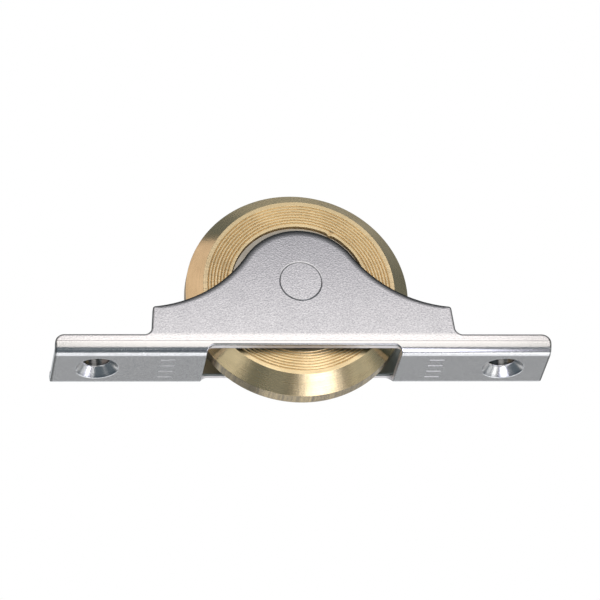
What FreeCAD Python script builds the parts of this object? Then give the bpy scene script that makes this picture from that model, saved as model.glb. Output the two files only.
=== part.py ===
import FreeCAD, Part
import math
import os
from FreeCAD import Vector

# Sliding-door roller: a pressed steel channel frame that carries one double-bevelled brass wheel
# on a ball bearing, turning on a shouldered pin swaged flush into the frame's two cheeks.
#
# Frame of reference: origin at the centre of the wheel, +Y along the axle towards the rear
# cheek, +X along the frame, +Z up into the door. The wheel stands out below the frame's web.
# All sizes are in millimetres.

# Wheel
WHEEL_D = 36.0
WHEEL_W = 8.0
TREAD_W = 2.3
FACE_R = 15.45
GROOVE_COUNT = 7
GROOVE_OUTER_R = 14.65
GROOVE_PITCH = 0.5
GROOVE_W = 0.26
GROOVE_DEPTH = 0.16
SHOULDER_R = 10.2
STAKE_COUNT = 3
STAKE_ANGLE = 60.0

# Frame, pressed from one sheet
SHEET_T = 1.2
CHANNEL_W = 12.4
HALF_LENGTH = 39.75
WEB_UNDERSIDE_Z = -12.5
BEND_R = 1.85
HUMP_TOP_Z = 9.15
HUMP_R = 10.3
FLARE_R = 21.0
SHOULDER_Z = -4.6
SHOULDER_HALF = 24.0
SHOULDER_FOOT_HALF = 24.3
SHOULDER_CORNER_R = 0.5
LIP_TOP_Z = -9.45
LIP_CORNER_R = 1.5
STEP_FILLET_R = 1.3
SLOT_HALF = 15.6
SLOT_TOP_Z = -11.2
SLOT_CORNER_R = 1.0

# Screw holes, dimpled upwards for countersunk heads
SCREW_X = 32.7
SCREW_HOLE_R = 2.1
DIMPLE_R = 3.45
DIMPLE_DEPTH = 1.5
HOLE_LAND = 1.4
BOSS_FOOT_R = 3.95
BOSS_TOP_R = 2.85

# Small plain witness strokes pressed into the web, and where they stand
STROKE_COUNT = 4
STROKE_PITCH = 2.0
STROKE_L = 2.4
STROKE_W = 0.3
STROKE_DEPTH = 0.1
STROKE_X = 21.6

# Axle pin
AXLE_R = 4.0
AXLE_END_R = 3.33
AXLE_HOLE_R = 3.36
AXLE_EDGE = 0.12

# Ball bearing, 8 x 22 x 7, with seven balls and a shield on each side
BEARING_BORE_R = 4.0
BEARING_OUTER_R = 11.0
BEARING_W = 7.0
BALL_D = 3.969
BALL_COUNT = 7
PITCH_R = 7.5
RACE_R = 2.045
INNER_LAND_R = 6.2
OUTER_LAND_R = 8.8
SHIELD_SEAT_R = 9.7
SHIELD_T = 0.3
SHIELD_FACE_Y = 3.3
SHIELD_INNER_R = 6.45
SHIELD_OUTER_R = 9.68
RING_EDGE = 0.3
CAGE_T = 0.35
CAGE_IN_R = 6.75
CAGE_OUT_R = 8.25
CAGE_POCKET_R = 2.05
RIVET_R = 0.35
RIVET_HOLE_R = 0.37
RIVET_HEAD_R = 0.55
RIVET_HEAD_T = 0.2

# Spacer washers between the bearing's inner ring and the cheeks
SPACER_R = 5.5
SPACER_BORE_R = 4.05

# Derived
INNER_HALF = CHANNEL_W / 2 - SHEET_T
WEB_TOP_Z = WEB_UNDERSIDE_Z + SHEET_T
INNER_BEND_R = BEND_R - SHEET_T
ALONG_Y = Vector(0, 1, 0)


def revolve(profile):
    """A solid of revolution about the Y axis from (radius, y) points."""
    points = [Vector(r, y, 0) for r, y in profile]
    face = Part.Face(Part.makePolygon(points + points[:1]))
    return face.revolve(Vector(0, 0, 0), ALONG_Y, 360)


def on_circle(radius, degrees):
    """A point of the XZ plane on a circle about the axle, measured from +X towards +Z."""
    angle = math.radians(degrees)
    return Vector(radius * math.cos(angle), 0, radius * math.sin(angle))


def cylinder_y(radius, y_low, y_high, centre=Vector(0, 0, 0)):
    start = Vector(centre.x, y_low, centre.z)
    return Part.makeCylinder(radius, y_high - y_low, start, ALONG_Y)


def arc(start, centre, radius, middle_angle, end):
    """An arc in the XZ plane through the point of its circle at middle_angle degrees."""
    angle = math.radians(middle_angle)
    middle = centre + Vector(radius * math.cos(angle), 0, radius * math.sin(angle))
    return Part.Arc(start, middle, end).toShape()


def side_outline():
    """The frame's outline seen along the axle: two low lips, a shoulder at each side, one hump."""
    hump_centre = Vector(0, 0, HUMP_TOP_Z - HUMP_R)
    # the flare's circle touches the hump's from outside, and its lowest point is at SHOULDER_Z
    reach = HUMP_R + FLARE_R
    rise = SHOULDER_Z + FLARE_R - hump_centre.z
    flare_centre = hump_centre + Vector(math.sqrt(reach ** 2 - rise ** 2), 0, rise)
    slope = math.degrees(math.atan2(rise, flare_centre.x))
    meeting = hump_centre + (flare_centre - hump_centre) * (HUMP_R / reach)
    corner = SHOULDER_CORNER_R
    flat_x = SHOULDER_HALF - corner
    flare_end_z = flare_centre.z - math.sqrt(FLARE_R ** 2 - (flare_centre.x - flat_x) ** 2)
    corner_centre = Vector(flat_x, 0, flare_end_z - corner)
    fillet = STEP_FILLET_R
    fillet_centre = Vector(SHOULDER_FOOT_HALF + fillet, 0, LIP_TOP_Z + fillet)
    lip = LIP_CORNER_R
    lip_centre = Vector(HALF_LENGTH - lip, 0, LIP_TOP_Z - lip)
    half = [
        arc(
            meeting, flare_centre, FLARE_R, (180 + slope + 270) / 2,
            corner_centre + Vector(0, 0, corner),
        ),
        arc(
            corner_centre + Vector(0, 0, corner), corner_centre, corner, 45,
            corner_centre + Vector(corner, 0, 0),
        ),
        Part.makeLine(corner_centre + Vector(corner, 0, 0), fillet_centre - Vector(fillet, 0, 0)),
        arc(
            fillet_centre - Vector(fillet, 0, 0), fillet_centre, fillet, 225,
            fillet_centre - Vector(0, 0, fillet),
        ),
        Part.makeLine(fillet_centre - Vector(0, 0, fillet), lip_centre + Vector(0, 0, lip)),
        arc(lip_centre + Vector(0, 0, lip), lip_centre, lip, 45, lip_centre + Vector(lip, 0, 0)),
        Part.makeLine(lip_centre + Vector(lip, 0, 0), Vector(HALF_LENGTH, 0, WEB_UNDERSIDE_Z)),
    ]
    mirrored = [edge.mirror(Vector(0, 0, 0), Vector(1, 0, 0)) for edge in half]
    hump = Part.Arc(
        Vector(-meeting.x, 0, meeting.z), Vector(0, 0, HUMP_TOP_Z), meeting
    ).toShape()
    foot = Part.makeLine(
        Vector(-HALF_LENGTH, 0, WEB_UNDERSIDE_Z), Vector(HALF_LENGTH, 0, WEB_UNDERSIDE_Z)
    )
    edges = Part.sortEdges(half + mirrored + [hump, foot])[0]
    face = Part.Face(Part.Wire(edges))
    face.translate(Vector(0, -CHANNEL_W, 0))
    return face.extrude(Vector(0, 2 * CHANNEL_W, 0))


def channel():
    """The bent sheet before its outline is cut: a U section run along X."""
    length = 2 * HALF_LENGTH
    height = HUMP_TOP_Z - WEB_UNDERSIDE_Z

    def trough(half_width, z_low, bend):
        box = Part.makeBox(
            length, 2 * half_width, height + 1, Vector(-HALF_LENGTH, -half_width, z_low)
        )
        low = [
            edge for edge in box.Edges
            if edge.BoundBox.ZMax < z_low + 0.01 and edge.BoundBox.XLength > length - 0.01
        ]
        return box.makeFillet(bend, low)

    outer = trough(CHANNEL_W / 2, WEB_UNDERSIDE_Z, BEND_R)
    return outer.cut(trough(INNER_HALF, WEB_TOP_Z, INNER_BEND_R))


def wheel_slot():
    """The opening the wheel passes through, cut through the web and up into both bends."""
    low = WEB_UNDERSIDE_Z - 1
    box = Part.makeBox(
        2 * SLOT_HALF, 2 * CHANNEL_W, SLOT_TOP_Z - low, Vector(-SLOT_HALF, -CHANNEL_W, low)
    )
    top = [
        edge for edge in box.Edges
        if edge.BoundBox.ZMin > SLOT_TOP_Z - 0.01 and edge.BoundBox.YLength > CHANNEL_W
    ]
    return box.makeFillet(SLOT_CORNER_R, top)


def stand_up(profile, x):
    """A solid of revolution about the vertical line at x from (radius, z) points."""
    points = [Vector(x + r, 0, z) for r, z in profile]
    face = Part.Face(Part.makePolygon(points + points[:1]))
    return face.revolve(Vector(x, 0, 0), Vector(0, 0, 1), 360)


def screw_seat(x):
    """The dimple's raised boss, and the countersunk hole through it with its short bore."""
    cone_top = WEB_UNDERSIDE_Z + DIMPLE_DEPTH
    top = cone_top + HOLE_LAND
    mid = WEB_TOP_Z - SHEET_T / 2
    boss = stand_up(
        [(0, mid), (BOSS_FOOT_R, mid), (BOSS_FOOT_R, WEB_TOP_Z), (BOSS_TOP_R, top), (0, top)], x
    )
    below = WEB_UNDERSIDE_Z - 1
    hole = stand_up(
        [
            (0, below), (DIMPLE_R, below), (DIMPLE_R, WEB_UNDERSIDE_Z),
            (SCREW_HOLE_R, cone_top), (SCREW_HOLE_R, top + 1), (0, top + 1),
        ],
        x,
    )
    return boss, hole


def witness_strokes(x):
    """A row of short plain strokes pressed shallowly into the web's underside."""
    strokes = []
    for index in range(STROKE_COUNT):
        y = (index - (STROKE_COUNT - 1) / 2) * STROKE_PITCH
        corner = Vector(x - STROKE_L / 2, y - STROKE_W / 2, WEB_UNDERSIDE_Z - 1)
        strokes.append(Part.makeBox(STROKE_L, STROKE_W, 1 + STROKE_DEPTH, corner))
    return strokes


def frame():
    body = channel().common(side_outline())
    bosses = []
    cuts = [wheel_slot(), cylinder_y(AXLE_HOLE_R, -CHANNEL_W, CHANNEL_W)]
    for side in (-1, 1):
        boss, hole = screw_seat(side * SCREW_X)
        bosses.append(boss)
        cuts.append(hole)
        cuts.extend(witness_strokes(side * STROKE_X))
    return body.fuse(bosses).cut(cuts).removeSplitter()


def axle():
    """A shouldered pin whose ends are swaged flush with the cheeks' outer faces."""
    end = CHANNEL_W / 2
    return revolve([
        (0, -end), (AXLE_END_R - AXLE_EDGE, -end), (AXLE_END_R, AXLE_EDGE - end),
        (AXLE_END_R, -INNER_HALF), (AXLE_R, -INNER_HALF), (AXLE_R, INNER_HALF),
        (AXLE_END_R, INNER_HALF), (AXLE_END_R, end - AXLE_EDGE), (AXLE_END_R - AXLE_EDGE, end),
        (0, end),
    ])


def spacer(side):
    low = min(side * BEARING_W / 2, side * INNER_HALF)
    high = max(side * BEARING_W / 2, side * INNER_HALF)
    return revolve([(SPACER_BORE_R, low), (SPACER_R, low), (SPACER_R, high), (SPACER_BORE_R, high)])


def face_grooves(y_face, depth):
    """Turned rings on a wheel face, as one V groove each; depth is signed into the wheel."""
    rings = []
    for index in range(GROOVE_COUNT):
        r = GROOVE_OUTER_R - index * GROOVE_PITCH
        rings.append(revolve([
            (r - GROOVE_W / 2, y_face), (r - GROOVE_W / 2, y_face - depth / 2),
            (r + GROOVE_W / 2, y_face - depth / 2), (r + GROOVE_W / 2, y_face), (r, y_face + depth),
        ]))
    return rings


def wheel():
    """The brass wheel: flat tread, a bevel each side, and a bore that seats the bearing."""
    half = WHEEL_W / 2
    seat = BEARING_W / 2
    tread = TREAD_W / 2
    body = revolve([
        (BEARING_OUTER_R, -half), (FACE_R, -half), (WHEEL_D / 2, -tread), (WHEEL_D / 2, tread),
        (FACE_R, half), (SHOULDER_R, half), (SHOULDER_R, seat), (BEARING_OUTER_R, seat),
    ])
    body = body.cut(face_grooves(-half, GROOVE_DEPTH) + face_grooves(half, -GROOVE_DEPTH))
    # punched stakes: a nick in the face and a tongue of brass pushed over the bearing's edge
    tongue_low = -half + 0.1
    for index in range(STAKE_COUNT):
        place = on_circle(BEARING_OUTER_R, STAKE_ANGLE + index * 360 / STAKE_COUNT)
        nick = cylinder_y(0.35, -half - 1, -half + 0.25, place * (1 + 0.45 / BEARING_OUTER_R))
        tongue = cylinder_y(0.6, tongue_low, -seat, place)
        body = body.fuse(tongue).cut(nick)
    return body.removeSplitter()


def race_groove():
    """The ring-shaped track the balls run in, as a torus about the axle."""
    return Part.makeTorus(PITCH_R, RACE_R, Vector(0, 0, 0), ALONG_Y)


def outer_ring():
    half = BEARING_W / 2
    edge = RING_EDGE
    seat = SHIELD_FACE_Y - SHIELD_T
    outer = BEARING_OUTER_R
    body = revolve([
        (OUTER_LAND_R, -seat), (SHIELD_SEAT_R, -seat), (SHIELD_SEAT_R, -half), (outer - edge, -half),
        (outer, edge - half), (outer, half - edge), (outer - edge, half), (SHIELD_SEAT_R, half),
        (SHIELD_SEAT_R, seat), (OUTER_LAND_R, seat),
    ])
    return body.cut(race_groove())


def inner_ring():
    half = BEARING_W / 2
    edge = RING_EDGE
    bore = BEARING_BORE_R
    land = INNER_LAND_R
    body = revolve([
        (bore + edge, -half), (land - edge, -half), (land, edge - half), (land, half - edge),
        (land - edge, half), (bore + edge, half), (bore, half - edge), (bore, edge - half),
    ])
    return body.cut(race_groove())


def shield(side):
    """A thin pressed disc that closes one side of the bearing."""
    inside = side * (SHIELD_FACE_Y - SHIELD_T)
    outside = side * SHIELD_FACE_Y
    return revolve([
        (SHIELD_INNER_R, inside), (SHIELD_OUTER_R, inside),
        (SHIELD_OUTER_R, outside), (SHIELD_INNER_R, outside),
    ])


def ball_angle(index):
    return 90 + index * 360 / BALL_COUNT


def cage_half(side):
    """One half of the pressed ribbon cage: flat webs between part-spherical pockets."""
    low = min(0, side * CAGE_T)
    web = cylinder_y(CAGE_OUT_R, low, low + CAGE_T)
    reach = CAGE_POCKET_R + CAGE_T
    beyond = reach + 1
    keep_low = min(0, side * beyond)
    keep = cylinder_y(CAGE_OUT_R, keep_low, keep_low + beyond)
    pockets = []
    holes = [cylinder_y(CAGE_IN_R, -beyond, beyond)]
    for index in range(BALL_COUNT):
        centre = on_circle(PITCH_R, ball_angle(index))
        between = on_circle(PITCH_R, ball_angle(index + 0.5))
        pockets.append(Part.makeSphere(reach, centre, ALONG_Y).common(keep))
        holes.append(Part.makeSphere(CAGE_POCKET_R, centre, ALONG_Y))
        holes.append(cylinder_y(RIVET_HOLE_R, -beyond, beyond, between))
    return web.fuse(pockets).cut(holes).removeSplitter()


def cage_rivet(index):
    centre = on_circle(PITCH_R, ball_angle(index + 0.5))
    grip = CAGE_T
    shank = cylinder_y(RIVET_R, -grip, grip, centre)
    heads = [
        cylinder_y(RIVET_HEAD_R, grip, grip + RIVET_HEAD_T, centre),
        cylinder_y(RIVET_HEAD_R, -grip - RIVET_HEAD_T, -grip, centre),
    ]
    return shank.fuse(heads).removeSplitter()


nodes = {
    "frame": frame(),
    "axle_pin": axle(),
    "spacer_front": spacer(-1),
    "spacer_rear": spacer(1),
    "wheel": wheel(),
    "bearing_outer_ring": outer_ring(),
    "bearing_inner_ring": inner_ring(),
    "shield_front": shield(-1),
    "shield_rear": shield(1),
    "cage_front": cage_half(-1),
    "cage_rear": cage_half(1),
}
for number in range(BALL_COUNT):
    nodes[f"ball_{number + 1}"] = Part.makeSphere(BALL_D / 2, on_circle(PITCH_R, ball_angle(number)))
    nodes[f"cage_rivet_{number + 1}"] = cage_rivet(number)

os.makedirs("parts", exist_ok=True)
for name, shape in nodes.items():
    shape.exportStep(f"parts/{name}.step")
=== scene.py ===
import math

import bmesh
import bpy
from mathutils import Matrix, Vector
from mathutils.geometry import tessellate_polygon


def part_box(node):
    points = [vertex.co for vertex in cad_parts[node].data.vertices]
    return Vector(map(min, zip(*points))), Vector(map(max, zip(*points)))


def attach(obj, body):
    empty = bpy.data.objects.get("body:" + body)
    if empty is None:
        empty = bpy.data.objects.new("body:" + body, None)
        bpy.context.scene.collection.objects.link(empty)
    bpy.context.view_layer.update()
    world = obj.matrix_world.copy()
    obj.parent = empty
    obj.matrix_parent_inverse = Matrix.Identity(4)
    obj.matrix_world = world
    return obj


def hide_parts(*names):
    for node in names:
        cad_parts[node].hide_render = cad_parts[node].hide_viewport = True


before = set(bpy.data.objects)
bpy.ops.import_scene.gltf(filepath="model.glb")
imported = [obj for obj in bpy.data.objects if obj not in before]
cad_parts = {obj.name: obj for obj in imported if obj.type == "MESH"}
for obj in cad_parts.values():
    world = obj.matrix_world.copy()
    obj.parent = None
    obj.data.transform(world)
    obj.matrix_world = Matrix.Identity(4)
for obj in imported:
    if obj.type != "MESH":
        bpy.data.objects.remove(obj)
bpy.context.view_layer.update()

# Lengths below are in millimetres, in the row frame: X along the frame, Y along the axle, Z up.
MM = 0.001

# Frame sheet
FRAME_LO, FRAME_HI = (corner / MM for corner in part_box("frame"))
HALF_LENGTH = FRAME_HI.x
HALF_WIDTH = FRAME_HI.y
WEB_Z = FRAME_LO.z
HUMP_TOP_Z = FRAME_HI.z
SHEET_T = 1.2
BEND_R = 1.85
HUMP_R = 10.3
FLARE_R = 21.0
SHOULDER_Z = -4.6
SHOULDER_HALF = 24.0
SHOULDER_FOOT_HALF = 24.3
SHOULDER_CORNER_R = 0.5
LIP_TOP_Z = -9.45
LIP_CORNER_R = 1.5
STEP_FILLET_R = 1.3
SLOT_HALF = 15.6
SLOT_TOP_Z = -11.2
SLOT_CORNER_R = 1.2
SCREW_X = 32.7
SCREW_HOLE_R = 2.1
DIMPLE_R = 3.45
DIMPLE_PATCH_R = 4.3
DIMPLE_DEPTH = 1.5
HOLE_LAND = 1.4
BOSS_TOP_R = 2.85
BOSS_FOOT_R = 3.95
AXLE_HOLE_R = 3.36
STROKE_X = 21.6
STROKE_COUNT = 4
STROKE_PITCH = 2.0
STROKE_L = 2.4
STROKE_W = 0.3

# Wheel, pin and bearing
WHEEL_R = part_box("wheel")[1].x / MM
WHEEL_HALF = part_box("wheel")[1].y / MM
TREAD_HALF = 1.15
FACE_R = 15.45
GROOVE_COUNT = 7
GROOVE_OUTER_R = 14.65
GROOVE_PITCH = 0.5
GROOVE_W = 0.26
GROOVE_DEPTH = 0.16
WHEEL_SHOULDER_R = 10.2
STAKE_ANGLES = (60, 180, 300)
BEARING_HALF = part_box("bearing_outer_ring")[1].y / MM
BEARING_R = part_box("bearing_outer_ring")[1].x / MM
BORE_R = 4.0
PITCH_R = 7.5
RACE_R = 2.045
INNER_LAND_R = 6.2
OUTER_LAND_R = 8.8
SHIELD_SEAT_R = 9.7
SHIELD_OUTER_R = 9.68
SHIELD_INNER_R = 6.45
SHIELD_T = 0.3
SHIELD_FACE_Y = 3.3
AXLE_R = 4.0
AXLE_END_R = 3.33
SPACER_R = 5.5
SPACER_BORE_R = 4.05
BALL_COUNT = 7

# Derived
INNER_HALF = HALF_WIDTH - SHEET_T
WEB_FLAT = HALF_WIDTH - BEND_R
BEND_LENGTH = BEND_R * math.pi / 2
BEND_END = WEB_FLAT + BEND_LENGTH
CHEEK_Z = WEB_Z + BEND_R


# ---------------------------------------------------------------- profiles


def rounded(points, radii, closed, steps):
    """Corner-rounded path as (position, normal) pairs; the normal is to the right of travel."""
    count = len(points)
    out = []
    for i, radius in enumerate(radii):
        here = Vector(points[i])
        if not closed and i in (0, count - 1):
            other = Vector(points[1]) if i == 0 else here
            before = here if i == 0 else Vector(points[-2])
            along = (other - before).normalized()
            out.append((here, Vector((along.y, -along.x))))
            continue
        a = (here - Vector(points[i - 1])).normalized()
        b = (Vector(points[(i + 1) % count]) - here).normalized()
        turn = math.atan2(a.x * b.y - a.y * b.x, a.dot(b))
        if abs(turn) < 1e-4:
            out.append((here, Vector((a.y, -a.x))))
            continue
        back = radius * math.tan(abs(turn) / 2)
        side = 1 if turn > 0 else -1
        centre = here - a * back + Vector((-a.y, a.x)) * radius * side
        start = math.atan2(-a.x * side, a.y * side)
        for k in range(steps + 1):
            angle = start + turn * k / steps
            spoke = Vector((math.cos(angle), math.sin(angle)))
            out.append((centre + spoke * radius, spoke * side))
    return out


def arc_points(centre, radius, start, end, steps):
    """Points of an arc, in degrees, both ends included."""
    out = []
    for k in range(steps + 1):
        angle = math.radians(start + (end - start) * k / steps)
        out.append(Vector((centre[0] + radius * math.cos(angle), centre[1] + radius * math.sin(angle))))
    return out


def rounded_rows(rows, closed, steps):
    """A rounded path from (across, along, corner radius) rows."""
    return rounded([row[:2] for row in rows], [row[2] for row in rows], closed, steps)


def add_object(name, data):
    obj = bpy.data.objects.new(name, data)
    bpy.context.scene.collection.objects.link(obj)
    return obj


def smooth_object(name, mesh, normals, material):
    mesh.polygons.foreach_set("use_smooth", [True] * len(mesh.polygons))
    mesh.normals_split_custom_set_from_vertices([tuple(n) for n in normals])
    mesh.materials.append(material)
    return add_object(name, mesh)


def lathe(name, profile, material, segments=192, centre=(0, 0, 0), deform=None):
    """A turned piece about a line along Y from (position, normal) pairs of (radius, y).

    The profile runs so that its normals point out of the metal. A profile that starts and ends on
    the axis is left open there, and any other is closed on itself.
    """
    on_axis = profile[0][0].x < 1e-6
    verts, normals, rows = [], [], []
    for point, normal in profile:
        row = []
        if point.x < 1e-6:
            row = [len(verts)] * segments
            verts.append(Vector((0, point.y, 0)))
            normals.append(Vector((0, normal.y, 0)))
        else:
            for k in range(segments):
                angle = 2 * math.pi * k / segments
                c, s = math.cos(angle), math.sin(angle)
                place = Vector((point.x * c, point.y, point.x * s))
                row.append(len(verts))
                verts.append(deform(place, angle) if deform else place)
                normals.append(Vector((normal.x * c, normal.y, normal.x * s)))
        rows.append(row)
    faces = []
    count = len(rows)
    for i in range(count - 1 if on_axis else count):
        low, high = rows[i], rows[(i + 1) % count]
        for k in range(segments):
            ring = [low[k], low[(k + 1) % segments], high[(k + 1) % segments], high[k]]
            faces.append(facing_out(list(dict.fromkeys(ring)), verts, normals))
    offset = Vector(centre)
    mesh = bpy.data.meshes.new(name)
    mesh.from_pydata([tuple((v + offset) * MM) for v in verts], [], faces)
    mesh.update()
    return smooth_object(name, mesh, normals, material)


def facing_out(face, verts, normals):
    """The face, wound so that it faces the way its corners' normals point."""
    a, b, c = (verts[i] for i in face[:3])
    flat = (b - a).cross(c - b)
    return face if flat.dot(sum((normals[i] for i in face), Vector())) > 0 else face[::-1]


# ---------------------------------------------------------------- materials


def new_material(name):
    material = bpy.data.materials.new(name)
    material.use_nodes = True
    tree = material.node_tree
    tree.nodes.clear()
    out = tree.nodes.new("ShaderNodeOutputMaterial")
    shader = tree.nodes.new("ShaderNodeBsdfPrincipled")
    tree.links.new(shader.outputs["BSDF"], out.inputs["Surface"])
    return material, tree, shader


def node(tree, kind, **settings):
    made = tree.nodes.new(kind)
    for key, value in settings.items():
        setattr(made, key, value)
    return made


def math_node(tree, operation, a, b=None):
    made = node(tree, "ShaderNodeMath", operation=operation)
    for socket, value in zip(made.inputs, (a, b)):
        if isinstance(value, (int, float)):
            socket.default_value = value
        elif value is not None:
            tree.links.new(value, socket)
    return made.outputs[0]


def noise(tree, vector, scale, detail, roughness=0.5):
    made = node(tree, "ShaderNodeTexNoise")
    made.inputs["Scale"].default_value = scale
    made.inputs["Detail"].default_value = detail
    made.inputs["Roughness"].default_value = roughness
    tree.links.new(vector, made.inputs["Vector"])
    return made.outputs["Fac"]


def in_millimetres(tree):
    """Object coordinates in millimetres."""
    coords = node(tree, "ShaderNodeTexCoord")
    scaled = node(tree, "ShaderNodeVectorMath", operation="SCALE")
    scaled.inputs["Scale"].default_value = 1 / MM
    tree.links.new(coords.outputs["Object"], scaled.inputs[0])
    return scaled.outputs[0]


def separate(tree, vector):
    """A vector's x, y and z."""
    split = node(tree, "ShaderNodeSeparateXYZ")
    tree.links.new(vector, split.inputs[0])
    return split.outputs


def between(tree, value, start, end, low=0.0, high=1.0, kind="SMOOTHSTEP"):
    """Low where the value is at start, high where it is at end, and held beyond both."""
    made = node(tree, "ShaderNodeMapRange", interpolation_type=kind)
    for name, limit in (("From Min", start), ("From Max", end), ("To Min", low), ("To Max", high)):
        made.inputs[name].default_value = limit
    tree.links.new(value, made.inputs["Value"])
    return made.outputs["Result"]


def weighed(tree, first, share, second):
    """Two values added, the first with its share and the second with the rest."""
    return math_node(tree, "ADD", math_node(tree, "MULTIPLY", first, share),
                     math_node(tree, "MULTIPLY", second, 1 - share))


# nearly all of a noise lies between these
NOISE_LOW = 0.3
NOISE_HIGH = 0.7


def spread(tree, value, low, high):
    """A noise spread between two limits."""
    return between(tree, value, NOISE_LOW, NOISE_HIGH, low, high, "LINEAR")


def tint(tree, value, dark, light):
    """A noise spread between two colours."""
    ramp = node(tree, "ShaderNodeValToRGB")
    for stop, position, colour in zip(ramp.color_ramp.elements, (NOISE_LOW, NOISE_HIGH), (dark, light)):
        stop.position = position
        stop.color = (*colour, 1)
    tree.links.new(value, ramp.inputs["Fac"])
    return ramp.outputs["Color"]


def blend(tree, share, under, over):
    made = node(tree, "ShaderNodeMix", data_type="RGBA")
    tree.links.new(share, made.inputs["Factor"])
    tree.links.new(under, made.inputs["A"])
    made.inputs["B"].default_value = (*over, 1)
    return made.outputs["Result"]


def attribute(tree, name):
    return node(tree, "ShaderNodeAttribute", attribute_name=name).outputs["Fac"]


def bump(tree, height, distance_mm, under=None):
    made = node(tree, "ShaderNodeBump")
    made.inputs["Strength"].default_value = 1.0
    made.inputs["Distance"].default_value = distance_mm * MM
    tree.links.new(height, made.inputs["Height"])
    if under is not None:
        tree.links.new(under, made.inputs["Normal"])
    return made.outputs["Normal"]


# painted shade on the sheared edges and down the screw holes' bores: its strength on each, and its colour
EDGE_SHADE = 0.95
BORE_SHADE = 0.85
EDGE_SHADE_COLOUR = (0.05, 0.055, 0.05)
CUT_COLOUR = (0.82, 0.79, 0.79)
CUT_ROUGHER = 0.45
# painted light: lighter round the bends and low on the cheeks
LOW_LIGHT_COLOUR = (0.78, 0.765, 0.755)
MARK_COLOUR = (0.16, 0.14, 0.13)
MARK_HALF_WIDTH = 0.10
MARK_SHARE = 0.75
# painted shade inside the channel, where the skin is also rougher
INSIDE_SHADE_COLOUR = (0.31, 0.335, 0.325)
INSIDE_ROUGHER = 0.2
# the painted shade and the rougher skin inside fade out along the channel, towards the bosses round the
# screw holes
INSIDE_FULL = 16.5
INSIDE_REACH = 27.0


def painted_light_low(tree, place):
    """1 where light is painted on: round the bends and low on the cheeks."""
    z = separate(tree, place)["Z"]
    low = between(tree, z, LIP_TOP_Z + 0.4, LIP_TOP_Z - 0.3)
    bent = between(tree, z, WEB_Z + 0.02, WEB_Z + 0.6)
    return math_node(tree, "MULTIPLY", low, bent)


def bend_mark(tree, place):
    """A fine line where each bend runs out into its cheek."""
    z = separate(tree, place)["Z"]
    away = math_node(tree, "ABSOLUTE", math_node(tree, "SUBTRACT", z, CHEEK_Z))
    return between(tree, away, MARK_HALF_WIDTH, 0.0, high=MARK_SHARE)


def channel_shade_and_dull_skin(tree, place):
    """1 on the sheet's inner side, 0 outside, fading out along the channel towards its ends."""
    x, y, z = separate(tree, place)
    clear_y = math_node(tree, "LESS_THAN", math_node(tree, "ABSOLUTE", y), INNER_HALF + 0.05)
    clear_z = math_node(tree, "GREATER_THAN", z, WEB_Z + SHEET_T - 0.1)
    near = between(tree, math_node(tree, "ABSOLUTE", x), INSIDE_REACH, INSIDE_FULL)
    return math_node(tree, "MULTIPLY", math_node(tree, "MULTIPLY", clear_y, clear_z), near)


def sheet_skin(tree, place, colour, rough):
    """The frame sheet's colour and roughness laid over the plain steel's, with painted light and painted
    shade.
    """
    edge, cut, inside = attribute(tree, "edge"), attribute(tree, "cut"), channel_shade_and_dull_skin(tree, place)
    colour = blend(tree, painted_light_low(tree, place), colour, LOW_LIGHT_COLOUR)
    colour = blend(tree, bend_mark(tree, place), colour, MARK_COLOUR)
    colour = blend(tree, cut, colour, CUT_COLOUR)
    # painted shade along the sheared edges and down the bores
    colour = blend(tree, math_node(tree, "MULTIPLY", edge, EDGE_SHADE), colour, EDGE_SHADE_COLOUR)
    # painted shade inside the channel
    colour = blend(tree, inside, colour, INSIDE_SHADE_COLOUR)
    for where, rougher in ((inside, INSIDE_ROUGHER), (cut, CUT_ROUGHER)):
        rough = math_node(tree, "ADD", rough, math_node(tree, "MULTIPLY", where, rougher))
    return colour, rough


PEBBLE_SHARE = 0.85


def pebbled_steel(name, dark, light, rough_low, rough_high, grain, depth_mm, sheet=False):
    """Dull tumbled steel: a fine pebbled skin and a slow cloudiness.

    The frame's sheet also has painted light round its bends and low on its cheeks, painted shade along its
    sheared edges and bores, and painted shade with a rougher skin inside the channel.
    """
    material, tree, shader = new_material(name)
    place = in_millimetres(tree)
    pebbles = noise(tree, place, grain, 2.0, 0.6)
    mixed = weighed(tree, pebbles, PEBBLE_SHARE, noise(tree, place, 0.35, 3.0))
    colour = tint(tree, mixed, dark, light)
    rough = spread(tree, mixed, rough_high, rough_low)
    if sheet:
        colour, rough = sheet_skin(tree, place, colour, rough)
    shader.inputs["Metallic"].default_value = 1.0
    tree.links.new(colour, shader.inputs["Base Color"])
    tree.links.new(rough, shader.inputs["Roughness"])
    tree.links.new(bump(tree, pebbles, depth_mm), shader.inputs["Normal"])
    return material


# painted shade down the wheel's turned grooves
GROOVE_SHADE = (0.76, 0.56, 0.30)
# painted shade on the wheel's tread
TREAD_SHADE = (0.24, 0.205, 0.155)
CHATTER_MM = 0.010
QUARTER_TURN = 0.25


def down_a_groove(tree, radius, y):
    """0 at a wheel face, rising to 1 at the bottom of its turned rings."""
    depth = between(tree, math_node(tree, "ABSOLUTE", y), WHEEL_HALF - GROOVE_DEPTH * 0.1,
                    WHEEL_HALF - GROOVE_DEPTH * 0.7, kind="LINEAR")
    near = math_node(tree, "LESS_THAN", radius, GROOVE_OUTER_R + GROOVE_W)
    return math_node(tree, "MULTIPLY", depth, near)


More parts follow.
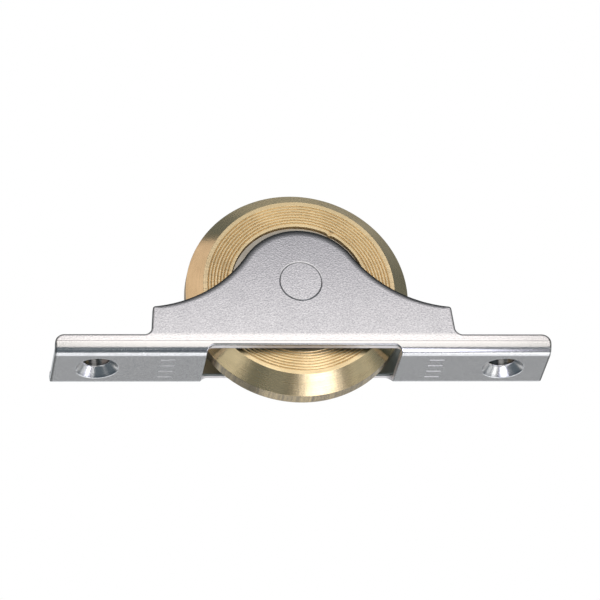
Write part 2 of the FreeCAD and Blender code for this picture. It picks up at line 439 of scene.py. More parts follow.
def turned_metal(name, dark, light, rough_low, rough_high, ring_scale, depth_mm, anisotropy, wheel=False):
    """Lathe-turned metal: fine rings about the Y axis.

    The wheel also has chatter marks across the rings, painted shade down its grooves and painted shade on
    its tread, in streaks.
    """
    material, tree, shader = new_material(name)
    place = in_millimetres(tree)
    x, y, z = separate(tree, place)
    squares = [math_node(tree, "MULTIPLY", side, side) for side in (x, z)]
    radius = math_node(tree, "SQRT", math_node(tree, "ADD", *squares))
    # distance along the section, and the direction round the axis
    along = math_node(tree, "SUBTRACT", radius, math_node(tree, "ABSOLUTE", y))
    round_x, round_z = math_node(tree, "DIVIDE", x, radius), math_node(tree, "DIVIDE", z, radius)

    def marks(across_rings, round_axis, detail):
        join = node(tree, "ShaderNodeCombineXYZ")
        scaled = ((round_x, round_axis), (along, across_rings), (round_z, round_axis))
        for socket, (value, scale) in zip(join.inputs, scaled):
            tree.links.new(math_node(tree, "MULTIPLY", value, scale), socket)
        return noise(tree, join.outputs[0], 1.0, detail, 0.7)

    rings = marks(across_rings=ring_scale, round_axis=1.5, detail=3.0)
    mixed = weighed(tree, rings, 0.5, noise(tree, place, 0.3, 3.0))
    colour = tint(tree, mixed, dark, light)
    skin = bump(tree, rings, depth_mm)
    if wheel:
        # painted shade down the grooves
        colour = blend(tree, down_a_groove(tree, radius, y), colour, GROOVE_SHADE)
        # painted shade on the tread, broken into streaks along the turning
        rim = WHEEL_R - TREAD_HALF
        on_tread = between(tree, along, rim - 0.1, rim + 0.05, kind="LINEAR")
        streaks = spread(tree, marks(across_rings=0.2, round_axis=45.0, detail=3.0), 0.5, 1.0)
        colour = blend(tree, math_node(tree, "MULTIPLY", on_tread, streaks), colour, TREAD_SHADE)
        chatter = marks(across_rings=0.5, round_axis=30.0, detail=2.0)
        skin = bump(tree, chatter, CHATTER_MM, skin)
    shader.inputs["Metallic"].default_value = 1.0
    shader.inputs["Anisotropic"].default_value = anisotropy
    shader.inputs["Anisotropic Rotation"].default_value = QUARTER_TURN
    tangent = node(tree, "ShaderNodeTangent", direction_type="RADIAL", axis="Y")
    tree.links.new(tangent.outputs[0], shader.inputs["Tangent"])
    tree.links.new(colour, shader.inputs["Base Color"])
    tree.links.new(spread(tree, mixed, rough_high, rough_low), shader.inputs["Roughness"])
    tree.links.new(skin, shader.inputs["Normal"])
    return material


STEEL = pebbled_steel(
    "frame_steel", (0.44, 0.44, 0.455), (0.615, 0.615, 0.625), 0.18, 0.25, 3.9, 0.018, sheet=True
)
PIN_STEEL = pebbled_steel("pin_steel", (0.46, 0.46, 0.475), (0.655, 0.655, 0.665), 0.18, 0.25, 3.9, 0.017)
CAGE_STEEL = pebbled_steel("cage_steel", (0.42, 0.41, 0.39), (0.54, 0.53, 0.50), 0.28, 0.4, 3.0, 0.004)
BRASS = turned_metal(
    "wheel_brass", (0.785, 0.61, 0.34), (1.0, 0.80, 0.472), 0.23, 0.30, 4.0, 0.004, 0.95, wheel=True
)
# painted shade and a painted brass reflection: the bearing rings' steel is darker and tan
SHADED_BEARING_STEEL = turned_metal(
    "bearing_steel", (0.42, 0.385, 0.32), (0.53, 0.49, 0.41), 0.22, 0.32, 9.0, 0.001, 0.5
)
SHIELD_STEEL = turned_metal(
    "shield_steel", (0.46, 0.46, 0.46), (0.56, 0.56, 0.56), 0.28, 0.4, 5.0, 0.001, 0.5
)
SPACER_STEEL = turned_metal(
    "spacer_steel", (0.44, 0.44, 0.45), (0.54, 0.54, 0.55), 0.25, 0.38, 8.0, 0.002, 0.5
)
BALL_STEEL = turned_metal(
    "ball_steel", (0.66, 0.66, 0.67), (0.72, 0.72, 0.73), 0.05, 0.10, 3.0, 0.0002, 0.0
)


def finished(piece, body, cad_node):
    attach(piece, body)
    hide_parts(cad_node)


# ---------------------------------------------------------------- frame sheet


def side_outline():
    """Right half of the frame's outline as (x, z), from the hump's top to the foot of the lip."""
    hump = Vector((0, HUMP_TOP_Z - HUMP_R))
    reach = HUMP_R + FLARE_R
    rise = SHOULDER_Z + FLARE_R - hump.y
    flare = hump + Vector((math.sqrt(reach ** 2 - rise ** 2), rise))
    slope = math.degrees(math.atan2(rise, flare.x))
    corner = SHOULDER_CORNER_R
    flat_x = SHOULDER_HALF - corner
    flare_stop = math.degrees(math.acos((flare.x - flat_x) / FLARE_R))
    points = arc_points(hump, HUMP_R, 90, slope, 40)
    points += arc_points(flare, FLARE_R, 180 + slope, 180 + flare_stop, 40)[1:]
    corner_centre = points[-1] - Vector((0, corner))
    points += arc_points(corner_centre, corner, 90, 0, 10)[1:]
    step_centre = (SHOULDER_FOOT_HALF + STEP_FILLET_R, LIP_TOP_Z + STEP_FILLET_R)
    points += arc_points(step_centre, STEP_FILLET_R, 180, 270, 12)
    lip_centre = (HALF_LENGTH - LIP_CORNER_R, LIP_TOP_Z - LIP_CORNER_R)
    points += arc_points(lip_centre, LIP_CORNER_R, 90, 0, 14)
    return points


def along_sheet(z):
    """Distance along the sheet's section from the web's middle to height z of a cheek."""
    return BEND_END + z - CHEEK_Z


def fold(x, s, depth):
    """Where a point of the flat blank lies once bent: its place, the sheet's direction, its outside."""
    side = 1 if s >= 0 else -1
    run = abs(s)
    if run <= WEB_FLAT:
        return Vector((x, s, WEB_Z + depth)), Vector((0, 1, 0)), Vector((0, 0, -1))
    if run >= BEND_END:
        place = Vector((x, side * (HALF_WIDTH - depth), CHEEK_Z + run - BEND_END))
        return place, Vector((0, 0, side)), Vector((0, side, 0))
    angle = (run - WEB_FLAT) / BEND_R
    c, sn = math.cos(angle), math.sin(angle)
    radius = BEND_R - depth
    place = Vector((x, side * (WEB_FLAT + radius * sn), CHEEK_Z - radius * c))
    return place, Vector((0, c, side * sn)), Vector((0, side * sn, -c))


# how far below the roll the painted shade on the skin ends
SKIN_END = 0.12


def ellipse_edge(roll, drop, burr, steps=7):
    """A sheared edge in section: rolled on the outside, square inside but for a small burr radius.

    Each entry is how far in from the edge, how deep, the normal's edge and outside shares, and how
    much painted shade lies on the skin.
    """
    out = []
    for k in range(steps + 1):
        t = math.pi / 2 * k / steps
        c, s = math.cos(t), math.sin(t)
        normal = Vector((s / roll, c / drop)).normalized()
        out.append((roll * (1 - s), drop * (1 - c), normal.x, normal.y, s ** 0.8))
    out.append((0.0, drop + SKIN_END, 1.0, 0.0, 0.0))
    for k in range(4):
        t = math.pi / 2 * k / 3
        c, s = math.cos(t), math.sin(t)
        out.append((burr * (1 - c), SHEET_T - burr * (1 - s), c, -s, 0.0))
    return out


# half the slot's width along the flat blank, at the sheet's middle
SLOT_SIDE = WEB_FLAT + 1.7


def sheared_lip(s, depth):
    """The wheel slot is cut level through the bends, so its edge moves in with depth."""
    if abs(s) <= WEB_FLAT:
        return s
    middle = SLOT_SIDE - WEB_FLAT
    outer = math.acos((CHEEK_Z - SLOT_TOP_Z) / BEND_R) * BEND_R
    inner = math.acos((CHEEK_Z - SLOT_TOP_Z) / (BEND_R - SHEET_T)) * BEND_R
    share = (outer + (inner - outer) * depth / SHEET_T) / middle
    return math.copysign(WEB_FLAT + (abs(s) - WEB_FLAT) * share, s)


# outside corners under this radius are tight, and the roll narrows there
TIGHT_R = 0.7
ROLL_AT_CORNER = 0.42
ROLL_GROWTH = 0.3
BEND_CUTS = 14


def tight_corners(loop):
    """For each point of a loop, whether it lies on a tight outside corner."""
    count = len(loop)
    found = []
    for k in range(count):
        a, b = loop[k] - loop[k - 1], loop[(k + 1) % count] - loop[k]
        turn = math.atan2(a.x * b.y - a.y * b.x, a.dot(b))
        found.append(turn > 0 and (a.length + b.length) / 2 / turn < TIGHT_R)
    return found


class Blank:
    """The flat blank as a mesh in (x, distance along the section, depth from the outside)."""

    def __init__(self):
        self.bm = bmesh.new()
        self.normal = self.bm.verts.layers.float_vector.new("normal")
        self.slot = self.bm.verts.layers.float.new("slot")
        # the edge layer holds painted shade along the sheared edges and down the screw holes' bores
        self.edge = self.bm.verts.layers.float.new("edge")
        self.cut = self.bm.verts.layers.float.new("cut")
        self.outside, self.inside = [], []

    def vert(self, x, s, depth, normal, slot=0.0, edge=0.0, cut=0.0):
        made = self.bm.verts.new((x, s, depth))
        made[self.normal] = normal
        made[self.slot] = slot
        made[self.edge] = edge
        made[self.cut] = cut
        return made

    def band(self, low, high):
        count = len(low)
        for k in range(count):
            nxt = (k + 1) % count
            self.bm.faces.new((low[k], low[nxt], high[nxt], high[k]))

    def sheared(self, loop, edge, slot=False, shade=0.0, rolls=None):
        """A cut-out or the outer edge: rings of the edge's section swept round a closed loop.

        The rolled width can vary along the loop as shares of the section's own.
        """
        count = len(loop)
        away = []
        for k in range(count):
            along = (loop[(k + 1) % count] - loop[k - 1]).normalized()
            away.append(Vector((along.y, -along.x)))
        reach = edge[0][0]
        tight = [p for p, near in zip(loop, tight_corners(loop)) if near]
        rolls = rolls or [1.0] * count
        rooms = [
            min([reach * roll] + [ROLL_AT_CORNER + ROLL_GROWTH * (p - q).length for q in tight]) / reach
            for p, roll in zip(loop, rolls)
        ]
        rings = []
        for inward, depth, edge_share, outside_share, dark in edge:
            ring = []
            for point, out, room in zip(loop, away, rooms):
                p = point - out * inward * room
                s = sheared_lip(p.y, depth) if slot else p.y
                normal = Vector((out.x * edge_share, out.y * edge_share, outside_share))
                bare = float(slot and dark == 0 and edge_share > 0.999)
                ring.append(self.vert(p.x, s, depth, normal, float(slot), shade * dark, bare))
            rings.append(ring)
        for low, high in zip(rings, rings[1:]):
            self.band(low, high)
        self.outside.append(rings[0])
        self.inside.append(rings[-1])

    def dimple(self, x):
        """A screw hole's pressed seat: the sheet rises round it as a cone, to a short bore."""
        top = DIMPLE_DEPTH + HOLE_LAND
        path = [
            (DIMPLE_PATCH_R, 0, 0), (DIMPLE_R, 0, 0.3), (SCREW_HOLE_R, DIMPLE_DEPTH, 0.6),
            (SCREW_HOLE_R, top, 0.12), (BOSS_TOP_R, top, 0.3), (BOSS_FOOT_R, SHEET_T, 0.4),
            (DIMPLE_PATCH_R, SHEET_T, 0),
        ]
        rows = []
        for point, normal in rounded_rows(path, False, 7):
            ring = []
            # painted shade down the short bore
            dark = BORE_SHADE * float(point.x < SCREW_HOLE_R + 0.02 and point.y > DIMPLE_DEPTH)
            for k in range(72):
                angle = -2 * math.pi * k / 72
                c, s = math.cos(angle), math.sin(angle)
                local = Vector((-normal.x * c, -normal.x * s, normal.y))
                ring.append(self.vert(x + point.x * c, point.x * s, point.y, local, edge=dark))
            rows.append(ring)
        for low, high in zip(rows, rows[1:]):
            self.band(low, high)
        self.outside.append(rows[0])
        self.inside.append(rows[-1])

    def stroke(self, x, y):
        """One short plain stroke pressed into the outside of the web."""
        half, reach = STROKE_W / 2, STROKE_L / 2 - STROKE_W / 2
        loop = arc_points((x + reach, y), half, 90, -90, 8) + arc_points((x - reach, y), half, 270, 90, 8)
        rings = []
        for share, depth, lean in ((1.0, 0.0, 0.0), (0.9, 0.02, 0.6), (0.6, 0.08, 0.6), (0.4, 0.1, 0.0)):
            ring = []
            for point in loop:
                centre = Vector((min(max(point.x, x - reach), x + reach), y))
                spoke = point - centre
                normal = Vector((*(spoke.normalized() * -lean), 1.0)).normalized()
                place = centre + spoke * share
                ring.append(self.vert(place.x, place.y, depth, normal, cut=min(1.0, depth / 0.05)))
            rings.append(ring)
        for low, high in zip(rings, rings[1:]):
            self.band(low, high)
        self.bm.faces.new(rings[-1])
        self.outside.append(rings[0])

    def fill(self, loops):
        flat = [v for loop in loops for v in loop]
        for tri in tessellate_polygon([[Vector((v.co.x, v.co.y, 0)) for v in loop] for loop in loops]):
            corners = [flat[i] for i in tri]
            if len(set(corners)) == 3:
                self.bm.faces.new(corners)

    def folded(self, name, material):
        self.fill(self.outside)
        self.fill(self.inside)
        for side in (-1, 1):
            for k in range(BEND_CUTS + 1):
                s = side * (WEB_FLAT + BEND_LENGTH * k / BEND_CUTS)
                geometry = self.bm.verts[:] + self.bm.edges[:] + self.bm.faces[:]
                bmesh.ops.bisect_plane(
                    self.bm, geom=geometry, dist=1e-5, plane_co=(0, s, 0), plane_no=(0, 1, 0)
                )
        normals = []
        for vert in self.bm.verts:
            x, s, depth = vert.co
            place, direction, outside = fold(x, s, depth)
            if vert[self.slot] > 0.999 and abs(s) > WEB_FLAT:
                direction = Vector((0, 0, math.copysign(1, s)))
            nx, ns, outward = vert[self.normal]
            normals.append((Vector((nx, 0, 0)) + direction * ns + outside * outward).normalized())
            vert.co = place * MM
        bmesh.ops.recalc_face_normals(self.bm, faces=self.bm.faces[:])
        mesh = bpy.data.meshes.new(name)
        self.bm.to_mesh(mesh)
        self.bm.free()
        return smooth_object(name, mesh, normals, material)


# sheared edges: rolled width, rolled depth, inner burr radius
OUTLINE_EDGE = ellipse_edge(1.15, 0.12, 0.07)
SLOT_EDGE = ellipse_edge(0.16, 0.14, 0.06)
PIN_HOLE_EDGE = ellipse_edge(0.24, 0.08, 0.05, 6)
# the rolled width along the lips, as a share of that round the hump
LIP_ROLL = 0.32


def frame_sheet():
    blank = Blank()
    half = [Vector((x, along_sheet(z))) for x, z in side_outline()]
    loop = list(half)
    loop += [Vector((p.x, -p.y)) for p in reversed(half)]
    loop += [Vector((-p.x, -p.y)) for p in half[1:]]
    loop += [Vector((-p.x, p.y)) for p in reversed(half[1:])]
    loop.reverse()
    rolls = []
    for point in loop:
        up_hump = (CHEEK_Z + abs(point.y) - BEND_END - SHOULDER_Z) / (HUMP_TOP_Z - SHOULDER_Z)
        rolls.append(LIP_ROLL + (1 - LIP_ROLL) * min(max(up_hump, 0.0), 1.0) ** 0.25)
    # painted shade along the outline's rolled edge
    blank.sheared(loop, OUTLINE_EDGE, shade=1.0, rolls=rolls)
    centre_x = SLOT_HALF - SLOT_CORNER_R
    centre_s = SLOT_SIDE - SLOT_CORNER_R
    slot = arc_points((centre_x, centre_s), SLOT_CORNER_R, 90, 0, 10)
    slot += arc_points((centre_x, -centre_s), SLOT_CORNER_R, 0, -90, 10)
    slot += arc_points((-centre_x, -centre_s), SLOT_CORNER_R, -90, -180, 10)
    slot += arc_points((-centre_x, centre_s), SLOT_CORNER_R, 180, 90, 10)
    # painted shade along the slot's rolled edge
    blank.sheared(slot, SLOT_EDGE, slot=True, shade=0.7)
    for side in (-1, 1):
        pin_hole = arc_points((0, side * along_sheet(0)), AXLE_HOLE_R, 360, 360 / 96, 95)
        blank.sheared(pin_hole, PIN_HOLE_EDGE)
        blank.dimple(side * SCREW_X)
        for index in range(STROKE_COUNT):
            blank.stroke(side * STROKE_X, (index - (STROKE_COUNT - 1) / 2) * STROKE_PITCH)
    return blank.folded("frame_sheet", STEEL)


finished(frame_sheet(), "frame", "frame")


# ---------------------------------------------------------------- wheel


def wheel_profile():
    """The wheel's section from the front of its bore round the rim to the rear, and back inside."""
    half = WHEEL_HALF
    points = [(BEARING_R, -half, 0.08)]
    grooves = [GROOVE_OUTER_R - i * GROOVE_PITCH for i in range(GROOVE_COUNT)]
    for r in reversed(grooves):
        points.append((r - GROOVE_W / 2, -half, 0.04))
        points.append((r, -half + GROOVE_DEPTH, 0.04))
        points.append((r + GROOVE_W / 2, -half, 0.04))
    points += [
        (FACE_R, -half, 0.08), (WHEEL_R, -TREAD_HALF, 0.15), (WHEEL_R, TREAD_HALF, 0.15),
        (FACE_R, half, 0.08),
    ]
    for r in grooves:
        points.append((r + GROOVE_W / 2, half, 0.04))
        points.append((r, half - GROOVE_DEPTH, 0.04))
        points.append((r - GROOVE_W / 2, half, 0.04))
    points += [
        (WHEEL_SHOULDER_R, half, 0.08), (WHEEL_SHOULDER_R, BEARING_HALF, 0.05),
        (BEARING_R, BEARING_HALF, 0.05),
    ]
    return rounded_rows(points, True, 3)


STAKE_HALF_WIDTH = 0.33
STAKE_TONGUE = 0.28
NICK_OUT = 0.32
NICK_HALF_WIDTH = 0.22
NICK_DEPTH = 0.35


def stakes(place, angle):
    """Punched nicks round the front of the bore, with brass pushed over the bearing's edge."""
    if place.y > -BEARING_HALF:
        return place
    radius = math.hypot(place.x, place.z)
    for centre in STAKE_ANGLES:
        turn = (angle - math.radians(centre) + math.pi) % (2 * math.pi) - math.pi
        width = math.exp(-((turn * radius / STAKE_HALF_WIDTH) ** 2))
        if radius < BEARING_R + 0.12:
            inwards = (radius - STAKE_TONGUE * width) / radius
            place = Vector((place.x * inwards, place.y, place.z * inwards))
        nick = math.exp(-(((radius - BEARING_R - NICK_OUT) / NICK_HALF_WIDTH) ** 2))
        place = place + Vector((0, NICK_DEPTH * width * nick, 0))
    return place


wheel = lathe("wheel_turned", wheel_profile(), BRASS, 360, deform=stakes)
finished(wheel, "wheel", "wheel")


# ---------------------------------------------------------------- pin, spacers, bearing


def turned(name, corners, material, **more):
    """A turned piece from (radius, y, corner radius) rows, round its section anticlockwise."""
    return lathe(name, rounded_rows(corners, corners[0][0] > 0, 4), material, **more)


def race(y_sign, land, outward):
    """Points of the ball track's arc between the two lands, as sharp corners of a fine polygon."""
    reach = math.sqrt(RACE_R ** 2 - (land - PITCH_R) ** 2)
    limit = math.asin(reach / RACE_R)
    out = []
    for k in range(17):
        t = y_sign * (-limit + 2 * limit * k / 16)
        out.append((PITCH_R + outward * RACE_R * math.cos(t), RACE_R * math.sin(t), 0.01))
    return out


end = HALF_WIDTH
pin = turned("pin_swaged", [
    (0, -end, 0), (AXLE_END_R, -end, 0.1), (AXLE_END_R, -INNER_HALF, 0.03), (AXLE_R, -INNER_HALF, 0.05),
    (AXLE_R, INNER_HALF, 0.05), (AXLE_END_R, INNER_HALF, 0.03), (AXLE_END_R, end, 0.1), (0, end, 0),
], PIN_STEEL)
finished(pin, "frame", "axle_pin")

for name, side in (("front", -1), ("rear", 1)):
    near, far = sorted((side * BEARING_HALF, side * INNER_HALF))
    washer = turned(f"spacer_{name}_turned", [
        (SPACER_BORE_R, near, 0.1), (SPACER_R, near, 0.12), (SPACER_R, far, 0.12), (SPACER_BORE_R, far, 0.1),
    ], SPACER_STEEL)
    finished(washer, "frame", f"spacer_{name}")
    near, far = sorted((side * SHIELD_FACE_Y, side * (SHIELD_FACE_Y - SHIELD_T)))
    disc = turned(f"shield_{name}_pressed", [
        (SHIELD_INNER_R, near, 0.08), (SHIELD_OUTER_R, near, 0.1), (SHIELD_OUTER_R, far, 0.1),
        (SHIELD_INNER_R, far, 0.08),
    ], SHIELD_STEEL)
    finished(disc, "wheel", f"shield_{name}")

seat = SHIELD_FACE_Y - SHIELD_T
outer_ring = turned("outer_ring_ground", [
    (OUTER_LAND_R, -seat, 0.05), (SHIELD_SEAT_R, -seat, 0.03), (SHIELD_SEAT_R, -BEARING_HALF, 0.08),
    (BEARING_R, -BEARING_HALF, 0.12), (BEARING_R, BEARING_HALF, 0.12),
    (SHIELD_SEAT_R, BEARING_HALF, 0.08), (SHIELD_SEAT_R, seat, 0.03), (OUTER_LAND_R, seat, 0.05),
] + race(-1, OUTER_LAND_R, 1), SHADED_BEARING_STEEL)
finished(outer_ring, "wheel", "bearing_outer_ring")

inner_ring = turned("inner_ring_ground", [
    (BORE_R, -BEARING_HALF, 0.3), (INNER_LAND_R, -BEARING_HALF, 0.2),
] + race(1, INNER_LAND_R, -1) + [
    (INNER_LAND_R, BEARING_HALF, 0.2), (BORE_R, BEARING_HALF, 0.3),
], SHADED_BEARING_STEEL)
finished(inner_ring, "frame", "bearing_inner_ring")

for number in range(1, BALL_COUNT + 1):
    low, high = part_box(f"ball_{number}")
    radius = (high.x - low.x) / 2 / MM
    half_circle = arc_points((0, 0), radius, -90, 90, 32)
    profile = [(p if 0 < k < 32 else Vector((0, p.y)), p.normalized()) for k, p in enumerate(half_circle)]
    ball = lathe(f"ball_{number}_polished", profile, BALL_STEEL, 48, centre=(low + high) / 2 / MM)
    finished(ball, f"ball_{number}", f"ball_{number}")

kept = ["cage_front", "cage_rear"] + [f"cage_rivet_{n}" for n in range(1, BALL_COUNT + 1)]
for name in kept:
    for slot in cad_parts[name].material_slots:
        slot.material = CAGE_STEEL


# ---------------------------------------------------------------- stage, light and camera


def one_face(name, corners, material):
    mesh = bpy.data.meshes.new(name)
    mesh.from_pydata([tuple(corner) for corner in corners], [], [(0, 1, 2, 3)])
    mesh.materials.append(material)
    return add_object(name, mesh)


# in metres
FLOOR_HALF = 12.0
FLOOR_Z = -0.9


def floor():
    material, _, shader = new_material("floor_paper")
    shader.inputs["Base Color"].default_value = (0.85, 0.85, 0.85, 1)
    shader.inputs["Roughness"].default_value = 0.9
    low, high = -FLOOR_HALF, FLOOR_HALF
    corners = [(x, y, FLOOR_Z) for x, y in ((low, low), (high, low), (high, high), (low, high))]
    obj = one_face("floor", corners, material)
    obj.visible_glossy = False


def soft_box(tree, direction, centre, half_width, half_height, softness, strength):
    """Brightness of one soft studio panel as seen along a direction, angles in degrees."""
    aim = Vector(centre).normalized()
    across = aim.cross(Vector((0, 0, 1))).normalized()
    above = across.cross(aim).normalized()

    def dot(axis):
        made = node(tree, "ShaderNodeVectorMath", operation="DOT_PRODUCT")
        tree.links.new(direction, made.inputs[0])
        made.inputs[1].default_value = axis
        return made.outputs["Value"]

    ahead = dot(aim)
    shares = []
    for axis, half in ((across, half_width), (above, half_height)):
        angle = math_node(tree, "ARCTAN2", math_node(tree, "ABSOLUTE", dot(axis)), ahead)
        edges = (math.radians(half + softness / 2), math.radians(half - softness / 2))
        shares.append(between(tree, angle, *edges))
    return math_node(tree, "MULTIPLY", math_node(tree, "MULTIPLY", *shares), strength)


WARM = (1.0, 0.975, 0.955)
NEUTRAL = (1.0, 1.0, 1.0)
AMBIENT = (0.12, 0.147, 0.17)
SOFT_BOXES = [
    # centre direction, half width, half height, softness, strength, colour
    ((-0.86, -0.02, 0.36), 30, 38.5, 2, 0.66, (1.0, 0.78, 0.70)),
    ((0.50, -0.40, -0.77), 15, 13, 7, 1.5, NEUTRAL),
    ((0.80, 0.10, -0.60), 12, 12, 10, 0.7, NEUTRAL),
    ((0.14, 0.53, -0.84), 30, 21, 6, 1.5, NEUTRAL),
    ((0.33, 0.18, -0.93), 10.5, 10, 3, 1.5, NEUTRAL),
    ((0.14, 0.90, -0.42), 50, 12, 10, 0.345, (1.0, 0.95, 0.88)),
    ((-0.78, -0.32, -0.535), 8, 14, 8, 0.52, WARM),
    ((0.45, 0.50, 0.74), 9, 16, 10, 0.3, WARM),
    ((0.04, 0.47, 0.88), 18, 12, 12, 0.06, NEUTRAL),
    # these light the sides, the back and the top
    ((0.05, -0.18, 0.98), 14, 14, 6, 0.9, NEUTRAL),
    ((0.0, 0.999, 0.03), 60, 17, 8, 0.8, NEUTRAL),
    ((0.0, 0.86, 0.50), 60, 10, 6, 0.4, NEUTRAL),
    ((-0.72, -0.69, -0.10), 14, 30, 8, 0.8, NEUTRAL),
    ((0.83, -0.56, -0.05), 12, 24, 8, 0.5, NEUTRAL),
]


BACKDROP = (1.0, 1.0, 1.0)
# seen by rough surfaces only, so that the floor is lit evenly
OVERHEAD = (1.08, 1.08, 1.08)


def background(tree, colour):
    made = node(tree, "ShaderNodeBackground")
    if isinstance(colour, tuple):
        made.inputs["Color"].default_value = (*colour, 1)
    else:
        tree.links.new(colour, made.inputs["Color"])
    return made.outputs[0]


def for_rays(tree, kind, others, chosen):
    """One light for the rays of a kind, and another for all others."""
    mix = node(tree, "ShaderNodeMixShader")
    tree.links.new(node(tree, "ShaderNodeLightPath").outputs[kind], mix.inputs["Fac"])
    tree.links.new(others, mix.inputs[1])
    tree.links.new(chosen, mix.inputs[2])
    return mix.outputs[0]


def studio():
    """Soft boxes on a dim surround, with a plain bright backdrop for the camera alone."""
    world = bpy.data.worlds.new("studio")
    bpy.context.scene.world = world
    world.use_nodes = True
    tree = world.node_tree
    tree.nodes.clear()
    coords = node(tree, "ShaderNodeTexCoord")
    total = None
    for *box, colour in SOFT_BOXES:
        share = node(tree, "ShaderNodeVectorMath", operation="SCALE")
        share.inputs[0].default_value = colour
        tree.links.new(soft_box(tree, coords.outputs["Generated"], *box), share.inputs["Scale"])
        adding = node(tree, "ShaderNodeVectorMath", operation="ADD")
        adding.inputs[0].default_value = AMBIENT
        if total is not None:
            tree.links.new(total, adding.inputs[0])
        tree.links.new(share.outputs[0], adding.inputs[1])
        total = adding.outputs[0]
    light = for_rays(tree, "Is Diffuse Ray", background(tree, total), background(tree, OVERHEAD))
    light = for_rays(tree, "Is Camera Ray", light, background(tree, BACKDROP))
    out = node(tree, "ShaderNodeOutputWorld")
    tree.links.new(light, out.inputs["Surface"])


# the card in front of the part: how far out it stands, its sides, its foot and top
CARD_Y = -136
CARD_X = (-75, 115)
CARD_Z = (-108, 150)
# up the card: height, brightness
CARD_LEVELS = (
    (-108, (1.2, 1.178, 1.15)), (-60, (1.24, 1.215, 1.185)), (18, (1.3, 1.27, 1.24)),
    (25, (1.65, 1.605, 1.575)), (47, (1.65, 1.605, 1.575)), (51, (1.85, 1.80, 1.78)),
    (57, (1.8, 1.75, 1.74)), (59.5, (1.38, 1.30, 1.33)), (66, (1.14, 1.07, 1.11)),
    (75, (0.64, 0.65, 0.70)), (84, (0.40, 0.42, 0.44)), (100, (0.22, 0.22, 0.23)),
    (150, (0.14, 0.14, 0.14)),
)
CARD_STRENGTH = 1.85
# across the card: where the light stands full, and how far it fades beyond
CARD_FULL_X = (-30, 68)
CARD_FADE = 14
CARD_SIDE = 0.12


def lit_card(name, corners, set_glow):
    """A card that lights the part unseen: set_glow dresses its light in its own coordinates."""
    material = bpy.data.materials.new(name)
    material.use_nodes = True
    tree = material.node_tree
    tree.nodes.clear()
    glow = node(tree, "ShaderNodeEmission")
    set_glow(tree, glow, separate(tree, in_millimetres(tree)))
    out = node(tree, "ShaderNodeOutputMaterial")
    tree.links.new(glow.outputs[0], out.inputs["Surface"])
    obj = one_face(name, [Vector(corner) * MM for corner in corners], material)
    obj.visible_camera = False
    return obj


def front_glow(tree, glow, place):
    z0, z1 = CARD_Z
    ramp = node(tree, "ShaderNodeValToRGB")
    stops = ramp.color_ramp.elements
    while len(stops) < len(CARD_LEVELS):
        stops.new(0.5)
    for stop, (z, level) in zip(stops, CARD_LEVELS):
        stop.position = (z - z0) / (z1 - z0)
        stop.color = (*(c / CARD_STRENGTH for c in level), 1)
    tree.links.new(between(tree, place["Z"], z0, z1, kind="LINEAR"), ramp.inputs["Fac"])
    tree.links.new(ramp.outputs["Color"], glow.inputs["Color"])
    middle, half = sum(CARD_FULL_X) / 2, (CARD_FULL_X[1] - CARD_FULL_X[0]) / 2
    aside = math_node(tree, "ABSOLUTE", math_node(tree, "SUBTRACT", place["X"], middle))
    levels = (CARD_SIDE * CARD_STRENGTH, CARD_STRENGTH)
    tree.links.new(between(tree, aside, half + CARD_FADE, half, *levels), glow.inputs["Strength"])


def front_card():
    """A large lit card close in front, bright low down and fading upwards."""
    (x0, x1), (z0, z1) = CARD_X, CARD_Z
    corners = [(x0, CARD_Y, z0), (x1, CARD_Y, z0), (x1, CARD_Y, z1), (x0, CARD_Y, z1)]
    obj = lit_card("front_card", corners, front_glow)


# the lamp below the wheel: its middle, the way it faces, its size and its light
LAMP_AT = (22.5, -24.0, -64.4)
LAMP_TOWARDS = (0.26, -0.38, -0.89)
LAMP_HALF_WIDTH = 28.0
LAMP_HALF_HEIGHT = 26.0
LAMP_FADE = 24.0
LAMP_STRENGTH = 3.3
LAMP_COLOUR = (0.98, 1.0, 1.16)


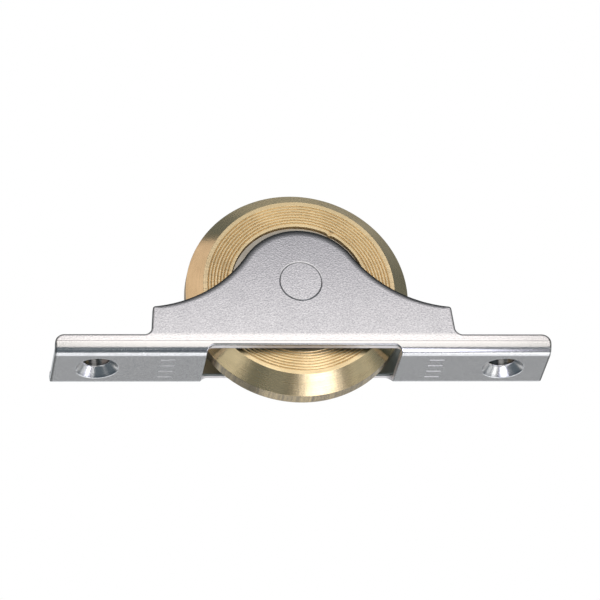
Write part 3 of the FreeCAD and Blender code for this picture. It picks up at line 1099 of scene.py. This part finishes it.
def lamp_glow(tree, glow, place):
    glow.inputs["Color"].default_value = (*LAMP_COLOUR, 1)
    strength = LAMP_STRENGTH
    for axis, half in (("X", LAMP_HALF_WIDTH), ("Y", LAMP_HALF_HEIGHT)):
        share = between(tree, math_node(tree, "ABSOLUTE", place[axis]), half, half - LAMP_FADE)
        strength = math_node(tree, "MULTIPLY", share, strength)
    tree.links.new(strength, glow.inputs["Strength"])


def turned_to(right, up, back):
    """The turn that takes X, Y and Z to three directions."""
    return Matrix((right, up, back)).transposed().to_4x4()


def lamp_card():
    """A narrow bright card near the wheel's lower rim."""
    back = -Vector(LAMP_TOWARDS).normalized()
    across = Vector((0, 0, 1)).cross(back).normalized()
    w, h = LAMP_HALF_WIDTH, LAMP_HALF_HEIGHT
    obj = lit_card("lamp_card", [(-w, -h, 0), (w, -h, 0), (w, h, 0), (-w, h, 0)], lamp_glow)
    place = Matrix.Translation(Vector(LAMP_AT) * MM)
    obj.matrix_world = place @ turned_to(across, back.cross(across), back)


CAMERA_AZIMUTH = -9.05
CAMERA_ELEVATION = -26.68
CAMERA_ROLL = 4.0
CAMERA_DISTANCE = 756.7
FOCAL_PER_FRAME = 4706.4 / 600
AIM_RIGHT = 0.627
AIM_UP = -0.213
SENSOR = 36.0


def camera():
    a, e, roll = (math.radians(v) for v in (CAMERA_AZIMUTH, CAMERA_ELEVATION, CAMERA_ROLL))
    back = Vector((math.sin(a) * math.cos(e), -math.cos(a) * math.cos(e), math.sin(e)))
    right = Vector((math.cos(a), math.sin(a), 0))
    up = back.cross(right)
    right, up = right * math.cos(roll) - up * math.sin(roll), up * math.cos(roll) + right * math.sin(roll)
    data = bpy.data.cameras.new("camera")
    data.sensor_width = SENSOR
    data.lens = SENSOR * FOCAL_PER_FRAME
    data.clip_end = 100
    obj = add_object("camera", data)
    place = back * CAMERA_DISTANCE + right * AIM_RIGHT + up * AIM_UP
    obj.matrix_world = Matrix.Translation(place * MM) @ turned_to(right, up, back)
    bpy.context.scene.camera = obj


floor()
studio()
front_card()
lamp_card()
camera()
bpy.context.scene.view_settings.view_transform = "Standard"
